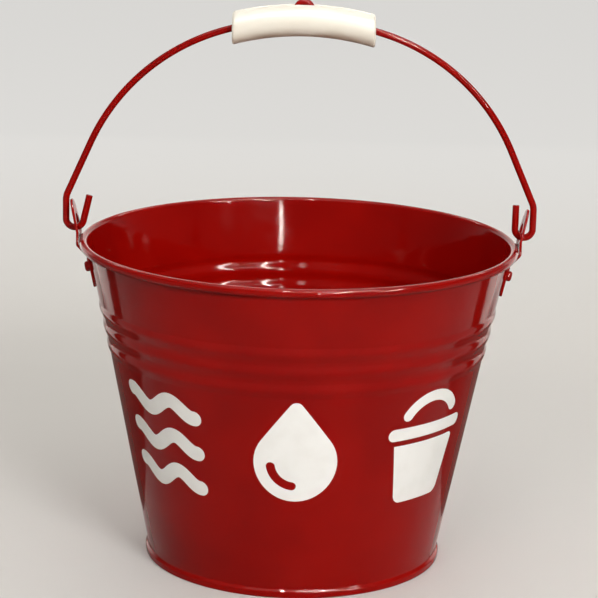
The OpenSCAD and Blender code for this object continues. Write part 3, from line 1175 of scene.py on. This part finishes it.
@dataclass
class HandGrip:
    """The moulded grip: an arched bar with a bore for the wire and a slot along its top."""

    plastic: Material
    bail: Bail
    half_length: float
    diameter: float = 19.5
    gap: float = 0.3
    slot: float = 3.4
    slot_round: float = 0.5
    lip_reach: float = 1.2
    end_round: float = 1.7
    end_turns: tuple[float, ...] = (0.0, 18.0, 36.0, 54.0, 72.0)
    skin: float = 0.9
    spare_sweep: float = 0.08
    sweep_steps: int = 64
    round_steps: int = 72
    bore_steps: int = 30
    lip_steps: int = 4

    def section(self) -> list[Vector]:
        """Draws the grip's section: round, with the bore, and with the slot between two rounded lips.

        Returns:
            Its points, as outwards from the arch's centre and across.
        """
        outer, bore, half = self.diameter / 2, self.bail.wire / 2 + self.gap, self.slot / 2
        lip_y = half + self.slot_round
        top = math.degrees(math.asin(lip_y / outer))
        low = math.degrees(math.asin(half / bore))
        lip = Vector((math.sqrt(outer ** 2 - lip_y ** 2) - self.slot_round, lip_y))
        right = arc(lip, self.slot_round, 0, -90, self.lip_steps)
        left = [Vector((p.x, -p.y)) for p in right]
        outside = arc(Vector((0, 0)), outer, top, 360 - 2 * top, self.round_steps)
        inside = arc(Vector((0, 0)), bore, -low, -(360 - 2 * low), self.bore_steps)
        return outside[1:-1] + left + inside + right[::-1]

    def build(self) -> list[Thing]:
        """Builds the grip, swept along the arch and cut off upright.

        Returns:
            The piece, alone in a list.
        """
        radius = self.bail.arch_radius
        sweep = math.asin(self.half_length / radius) + self.spare_sweep
        bm = bmesh.new()
        edges = chain(bm, [Vector((0, p.y, radius + p.x)) for p in self.section()], closed=True)
        bmesh.ops.rotate(bm, verts=bm.verts, cent=(0, 0, 0), matrix=Matrix.Rotation(-sweep, 3, "Y"))
        bmesh.ops.spin(bm, geom=bm.verts[:] + edges, cent=(0, 0, 0), axis=(0, 1, 0), dvec=(0, 0, 0),
                       angle=2 * sweep, steps=self.sweep_steps, use_merge=False, use_duplicate=False)
        bmesh.ops.translate(bm, vec=(0, 0, self.bail.arch_top - radius), verts=bm.verts)
        for sign in (-1, 1):
            cut = bmesh.ops.bisect_plane(bm, geom=bm.verts[:] + bm.edges[:] + bm.faces[:], dist=ON_THE_CUT,
                                         plane_co=(sign * self.half_length, 0, 0), plane_no=(sign, 0, 0),
                                         clear_outer=True)["geom_cut"]
            bmesh.ops.contextual_create(bm, geom=[g for g in cut if isinstance(g, Edge)])
        self.open_window(bm)
        self.round_ends(bm)
        bmesh.ops.recalc_face_normals(bm, faces=bm.faces)
        return [finished(bm, "hand_grip", Body.BAIL, self.plastic, ["grip"])]

    def open_window(self, bm: Mesh) -> None:
        """Widens the slot round the hump of the wire.

        Args:
            bm: The grip's mesh.
        """
        half_wire = self.bail.wire / 2
        reach = self.bail.hump_half + half_wire
        widen = half_wire + self.gap - self.slot / 2
        lip = self.slot / 2 + self.lip_reach * self.slot_round
        for v in bm.verts:
            if abs(v.co.x) < reach and abs(v.co.y) < lip and v.co.z > self.bail.arch_top:
                v.co.y += math.copysign(widen, v.co.y)

    def round_ends(self, bm: Mesh) -> None:
        """Rounds the outer rim of both ends, ring by ring.

        Args:
            bm: The grip's mesh.
        """
        start = self.half_length - self.end_round
        rings = [start + self.end_round * math.sin(math.radians(turn)) for turn in self.end_turns]
        cut_in_strips(bm, Vector((1, 0, 0)), [sign * ring for sign in (-1, 1) for ring in rings])
        radius, outer = self.bail.arch_radius, self.diameter / 2
        for v in bm.verts:
            past = min(abs(v.co.x) - start, self.end_round)
            line = self.bail.arch_top - radius + math.sqrt(radius ** 2 - v.co.x ** 2)
            if past > 0 and math.hypot(v.co.y, v.co.z - line) > self.skin * outer:
                drop = self.end_round - math.sqrt(self.end_round ** 2 - past ** 2)
                v.co.y *= 1 - drop / outer
                v.co.z = line + (v.co.z - line) * (1 - drop / outer)


class SignPlace(Enum):
    """Where each sign has its centre: degrees from the front, positive to the right, and height."""

    WAVES = (-45.5, 93.0)
    DROP = (0.5, 96.0)
    PAIL = (46.5, 93.0)


@dataclass
class PaintedMarks:
    """Three plain white signs round the front of the wall: waves, a drop and a bucket."""

    paint: Material
    shell: BucketShell
    stand_off: float = 0.03
    thickness: float = 0.10
    strip: float = 2.5
    wave_half: int = 26
    wave_length: float = 34.0
    wave_rise: float = 4.2
    wave_levels: tuple[float, ...] = (23.0, 0.0, -23.0)
    wave_stroke: float = 9.5
    drop_foot: float = -32.0
    drop_length: float = 65.0
    drop_radius: float = 25.0
    drop_tip: float = 4.0
    gleam_centre: Span = (0.0, -7.0)
    gleam_radius: float = 15.0
    gleam_start: float = 188.0
    gleam_turn: float = 74.0
    gleam_stroke: float = 5.5
    gleam_steps: int = 20
    pail_corners: tuple[Corner, ...] = ((0, 3, 0), (26, 3, 3), (20, -36, 6), (-20, -36, 6), (-26, 3, 0))
    pail_rim: tuple[float, ...] = (-27.0, -14.0, 0.0, 14.0, 27.0)
    pail_rim_height: float = 10.5
    pail_rim_stroke: float = 8.0
    pail_bail_centre: Span = (0.0, 10.0)
    pail_bail_radius: float = 22.5
    pail_bail_start: float = 33.0
    pail_bail_stroke: float = 7.0
    wide_steps: int = 40
    end_steps: int = 12
    corner_steps: int = 8

    def stroke(self, path: Sequence[Vector], width: float) -> list[Vector]:
        """Draws a stroke with round ends along a smooth path.

        Args:
            path: Points along its middle.
            width: Its width.

        Returns:
            Its outline.
        """
        half = width / 2
        ways = [(b - a).normalized() for a, b in zip([path[0], *path[:-1]], [*path[1:], path[-1]])]
        left = [p + Vector((-way.y, way.x)) * half for p, way in zip(path, ways)]
        right = [p - Vector((-way.y, way.x)) * half for p, way in zip(path, ways)]
        start, end = (math.degrees(math.atan2(way.y, way.x)) for way in (ways[0], ways[-1]))
        return (right + arc(path[-1], half, end - 90, 180, self.end_steps)[1:-1]
                + left[::-1] + arc(path[0], half, start + 90, 180, self.end_steps)[1:-1])

    def wave(self, level: float) -> list[Vector]:
        """One wave's path about a level."""
        return [Vector((x, level + self.wave_rise * math.sin(math.tau * x / self.wave_length)))
                for x in range(-self.wave_half, self.wave_half + 1)]

    def waves(self) -> list[list[Vector]]:
        """Outlines of three waves, one above another."""
        return [self.stroke(self.wave(level), self.wave_stroke) for level in self.wave_levels]

    def drop(self) -> list[list[Vector]]:
        """Draws a water drop with a round foot, a small round tip and a gleam left open in it.

        Returns:
            The outlines of the drop and of its gleam.
        """
        radius, tip = self.drop_radius, self.drop_tip
        lean = math.degrees(math.asin((radius - tip) / (self.drop_length - radius - tip)))
        foot = Vector((0, self.drop_foot + radius))
        top = Vector((0, self.drop_foot + self.drop_length - tip))
        outline = (arc(foot, radius, 180 - lean, 180 + 2 * lean, self.wide_steps)
                   + arc(top, tip, lean, 180 - 2 * lean, self.corner_steps))
        gleam = arc(Vector(self.gleam_centre), self.gleam_radius, self.gleam_start, self.gleam_turn,
                    self.gleam_steps)
        return [outline, self.stroke(gleam, self.gleam_stroke)]

    def pail(self) -> list[list[Vector]]:
        """Draws a small bucket with its bail.

        Returns:
            The outlines of its body, its rim and its bail.
        """
        rim = [Vector((x, self.pail_rim_height)) for x in self.pail_rim]
        bail = arc(Vector(self.pail_bail_centre), self.pail_bail_radius, self.pail_bail_start,
                   180 - 2 * self.pail_bail_start, self.wide_steps)
        return [rounded(self.pail_corners, self.corner_steps),
                self.stroke(rim, self.pail_rim_stroke),
                self.stroke(bail, self.pail_bail_stroke)]

    def build_mark(self, place: SignPlace, outlines: list[list[Vector]]) -> Thing:
        """Cuts a sign out flat and lays it on the wall.

        Args:
            place: The place of the sign, whose name it takes.
            outlines: Its closed outlines, across and up from its centre.

        Returns:
            The piece.
        """
        azimuth, height = place.value
        bm = bmesh.new()
        for outline in outlines:
            chain(bm, [Vector((p.x, 0, p.y)) for p in outline], closed=True)
        bmesh.ops.triangle_fill(bm, use_beauty=True, edges=bm.edges[:])
        wide = max(abs(v.co.x) for v in bm.verts)
        cut_in_strips(bm, Vector((1, 0, 0)), steps_between(-wide, wide, self.strip))
        shell = self.shell
        slope = math.atan2(shell.waist.x - shell.wall_foot, shell.waist.y - shell.seam_height)
        about = shell.lower_outside(height)
        for v in bm.verts:
            z = height + v.co.z * math.cos(slope)
            turn = math.radians(azimuth) + v.co.x / about
            out = shell.lower_outside(z) + self.stand_off + self.thickness / 2
            v.co = Vector((out * math.sin(turn), -out * math.cos(turn), z))
        bmesh.ops.recalc_face_normals(bm, faces=bm.faces)
        thicken(bm, self.thickness)
        return finished(bm, f"mark_{place.name.lower()}", Body.BUCKET, self.paint)

    def build(self) -> list[Thing]:
        """Builds all three signs."""
        signs = {SignPlace.WAVES: self.waves(), SignPlace.DROP: self.drop(), SignPlace.PAIL: self.pail()}
        return [self.build_mark(place, outlines) for place, outlines in signs.items()]


# The studio, in metres


@dataclass(frozen=True)
class Lamp:
    """An area lamp, which the camera doesn't see. Its radiance counts white paper in full light as 1."""

    name: str
    place: Place
    size: Span
    radiance: float
    reach: Reach = Reach.ALL
    aim: Place = (0.0, 0.0, 0.12)
    roll: float = 0.0
    warmth: Warmth = Warmth.WARM

    def build(self) -> None:
        """Hangs the lamp and aims it."""
        light = bpy.data.lights.new(self.name, "AREA")
        light.shape = "RECTANGLE"
        light.size, light.size_y = self.size
        light.energy = self.radiance * math.pi * self.size[0] * self.size[1]
        light.color = self.warmth.value
        holder = bpy.data.objects.new(self.name, light)
        holder.visible_camera = False
        holder.visible_diffuse, holder.visible_glossy = self.reach.value
        holder.location = self.place
        turned = (Vector(self.aim) - Vector(self.place)).to_track_quat("-Z", "Y").to_matrix()
        holder.rotation_euler = (turned @ Matrix.Rotation(math.radians(self.roll), 3, "Z")).to_euler()
        bpy.context.scene.collection.objects.link(holder)


LAMPS = (
    Lamp("soft_key", (0.72, -1.52, 0.86), (0.60, 0.40), 29.0, Reach.MATT, warmth=Warmth.DAYLIGHT),
    Lamp("soft_fill", (-0.50, -1.40, 1.00), (0.40, 0.40), 10.5, Reach.MATT, warmth=Warmth.DAYLIGHT),
    Lamp("right_tube", (1.20, -0.95, 1.08), (0.05, 1.00), 220.0, Reach.GLOSS, roll=-35),
    Lamp("long_tube", (0.66, -1.40, 1.44), (0.036, 1.42), 400.0, Reach.GLOSS, roll=-20),
    Lamp("streak_lamp", (0.28, -1.43, 0.545), (0.042, 0.20), 165.0, Reach.GLOSS, aim=(0.0, 0.1, 0.18)),
    Lamp("faint_lamp", (-0.07, -1.45, 1.25), (0.10, 0.10), 60.0, Reach.GLOSS),
    Lamp("wide_strip", (0.84, -1.30, 1.17), (1.30, 0.03), 60.0, Reach.GLOSS),
    Lamp("high_tube", (-0.19, -1.15, 2.05), (0.06, 1.00), 300.0, Reach.GLOSS),
    Lamp("high_softbox", (0.66, -1.05, 2.10), (1.35, 0.30), 48.0, Reach.GLOSS),
    Lamp("overhead_card", (0.0, -0.30, 1.60), (1.60, 1.20), 3.0, Reach.GLOSS, aim=(0.0, 0.0, 0.0)),
    Lamp("back_card", (0.0, 1.50, 0.46), (3.0, 0.90), 1.2, Reach.GLOSS, aim=(0.0, 0.0, 0.46)),
    Lamp("back_strip", (0.0, 1.60, 1.50), (2.40, 0.10), 16.0),
    Lamp("overhead_softbox", (0.0, 0.80, 2.80), (6.0, 6.0), 0.62, aim=(0.0, 0.8, 0.0)),
)


@dataclass(frozen=True)
class PhotoCamera:
    """The camera, at the photograph's place and with its framing. Angles are in radians."""

    target: Place = (0.0, 0.0, 0.105)
    distance: float = 1.48471
    elevation: float = 0.2773
    yaw: float = -0.0006
    pitch: float = 0.0373
    roll: float = -0.0236
    focal_px: float = 2370.93
    photo_px: float = 598.0
    sensor: float = 36.0

    def build(self) -> None:
        """Sets the camera up, aimed at its target and then turned by its yaw, pitch and roll."""
        back = Vector((0, -math.cos(self.elevation), math.sin(self.elevation)))
        ahead, right = -back, Vector((1, 0, 0))
        up = right.cross(ahead)
        turn = Matrix.Rotation(self.yaw, 3, up)
        ahead, right = turn @ ahead, turn @ right
        turn = Matrix.Rotation(self.pitch, 3, right)
        ahead, up = turn @ ahead, turn @ up
        turn = Matrix.Rotation(self.roll, 3, ahead)
        right, up = turn @ right, turn @ up
        camera = bpy.data.cameras.new("photo_camera")
        camera.sensor_width = self.sensor
        camera.lens = self.focal_px * self.sensor / self.photo_px
        holder = bpy.data.objects.new("photo_camera", camera)
        axes = Matrix((right, up, -ahead)).transposed().to_4x4()
        holder.matrix_world = Matrix.Translation(Vector(self.target) + back * self.distance) @ axes
        bpy.context.scene.collection.objects.link(holder)
        bpy.context.scene.camera = holder


@dataclass
class Studio:
    """The floor, the cards, the lamps, the world and the camera."""

    side_x: float = 0.36
    side_y: Span = (0.20, 0.58)
    side_height: float = 0.15
    side_lift: float = 0.01
    side_glow: float = 0.85
    dark_width: float = 0.085
    dark_floor_x: Span = (0.115, 0.35)
    dark_floor_y: Span = (0.04, 0.42)
    dark_lift: float = 0.002
    floor_radius: float = 9.0
    floor_segments: int = 96
    horizon: Colour = (0.67, 0.66, 0.64)
    sky: Colour = (0.22, 0.215, 0.205)
    horizon_band: Span = (0.02, 0.12)

    def __post_init__(self) -> None:
        """Mixes the black that all dark cards share."""
        self.black = CARD_BLACK.material()

    def dark_card(self, name: str, size: Span, place: Matrix) -> None:
        """Puts up a black card that only shows in the enamel's gloss.

        Args:
            name: Name of the card.
            size: Its width and height.
            place: Its place and turn, from flat on the origin.
        """
        bm = bmesh.new()
        bmesh.ops.create_grid(bm, x_segments=1, y_segments=1, size=0.5)
        bmesh.ops.scale(bm, vec=(*size, 1), verts=bm.verts)
        bmesh.ops.transform(bm, matrix=place, verts=bm.verts)
        card = added(bm, name, self.black)
        card.visible_camera = False
        card.visible_diffuse = False
        card.visible_shadow = False

    def side_cards(self, side: Side) -> None:
        """Puts a pale card beside the bucket, with a dark one at its edge and another on the floor below it.

        Args:
            side: The side of the bucket that they stand on.
        """
        x, name = side.value * self.side_x, side.name.lower()
        (front, back), height = self.side_y, self.side_height
        middle, z = (front + back) / 2, self.side_lift + height / 2
        Lamp(f"pale_card_{name}", (x, middle, z), (back - front, height), self.side_glow, Reach.GLOSS,
             aim=(0.0, middle, z)).build()
        upright = Matrix.Rotation(math.pi / 2, 4, "Z") @ Matrix.Rotation(math.pi / 2, 4, "X")
        edge = Matrix.Translation((x, front - self.dark_width / 2, z))
        self.dark_card(f"dark_edge_{name}", (self.dark_width, height), edge @ upright)
        (low, high), (front, back) = self.dark_floor_x, self.dark_floor_y
        flat = Matrix.Translation((side.value * (low + high) / 2, (front + back) / 2, self.dark_lift))
        self.dark_card(f"dark_floor_{name}", (high - low, back - front), flat)

    def build_floor(self) -> None:
        """Lays a wide round floor."""
        bm = bmesh.new()
        bmesh.ops.create_circle(bm, cap_ends=True, segments=self.floor_segments, radius=self.floor_radius)
        added(bm, "floor", FloorPaint().material())

    def build_world(self) -> None:
        """Makes a dim world with a pale band along the horizon."""
        world = bpy.data.worlds.new("studio")
        book = ShaderBook(world)
        way = book.node("ShaderNodeTexCoord", output="Generated")
        height = book.node("ShaderNodeSeparateXYZ", inputs={"Vector": way}, output="Z")
        colour = book.blend(height.above(*self.horizon_band), self.horizon, self.sky)
        book.end_with("ShaderNodeOutputWorld", book.node("ShaderNodeBackground", inputs={"Color": colour}))
        bpy.context.scene.world = world

    def build(self) -> None:
        """Builds the whole studio."""
        bpy.context.scene.view_settings.view_transform = "Standard"
        self.build_floor()
        self.build_world()
        PhotoCamera().build()
        for lamp in LAMPS:
            lamp.build()
        for side in Side:
            self.side_cards(side)


def dress_hidden_wire() -> None:
    """Gives the wire inside the rim curl, which stays a CAD node, its own material."""
    node = frame["nodes"]["rim_wire"]
    node.data.materials.clear()
    node.data.materials.append(DRAWN_STEEL.material())


def main() -> None:
    """Builds the bucket piece by piece, and then the studio."""
    logging.basicConfig(level=logging.INFO, format="%(message)s")
    wall_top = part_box("body_wall")[1] / MM
    bail_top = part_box("bail")[1] / MM
    pivot = frame["joints"][0]["pos_m"][2] / MM
    enamel = Enamel().material()
    shell = BucketShell(enamel, height=wall_top.z, rim_radius=wall_top.x)
    ears = EarsAndRivets(enamel, shell)
    bail = Bail(enamel, ears, pivot=pivot, outer_leg=bail_top.x - Bail.wire / 2, top=bail_top.z)
    plastic = GripPlastic(arch_centre=bail.arch_top - bail.arch_radius, arch_radius=bail.arch_radius)
    grip = HandGrip(plastic.material(), bail, half_length=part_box("grip")[1].x / MM)
    marks = PaintedMarks(WHITE_PAINT.material(), shell)
    for assembly in (shell, ears, bail, grip, marks):
        for piece in assembly.build():
            LOG.info("%s: %d faces", piece.name, len(piece.data.polygons))
    dress_hidden_wire()
    Studio().build()


if __name__ == "__main__":
    main()
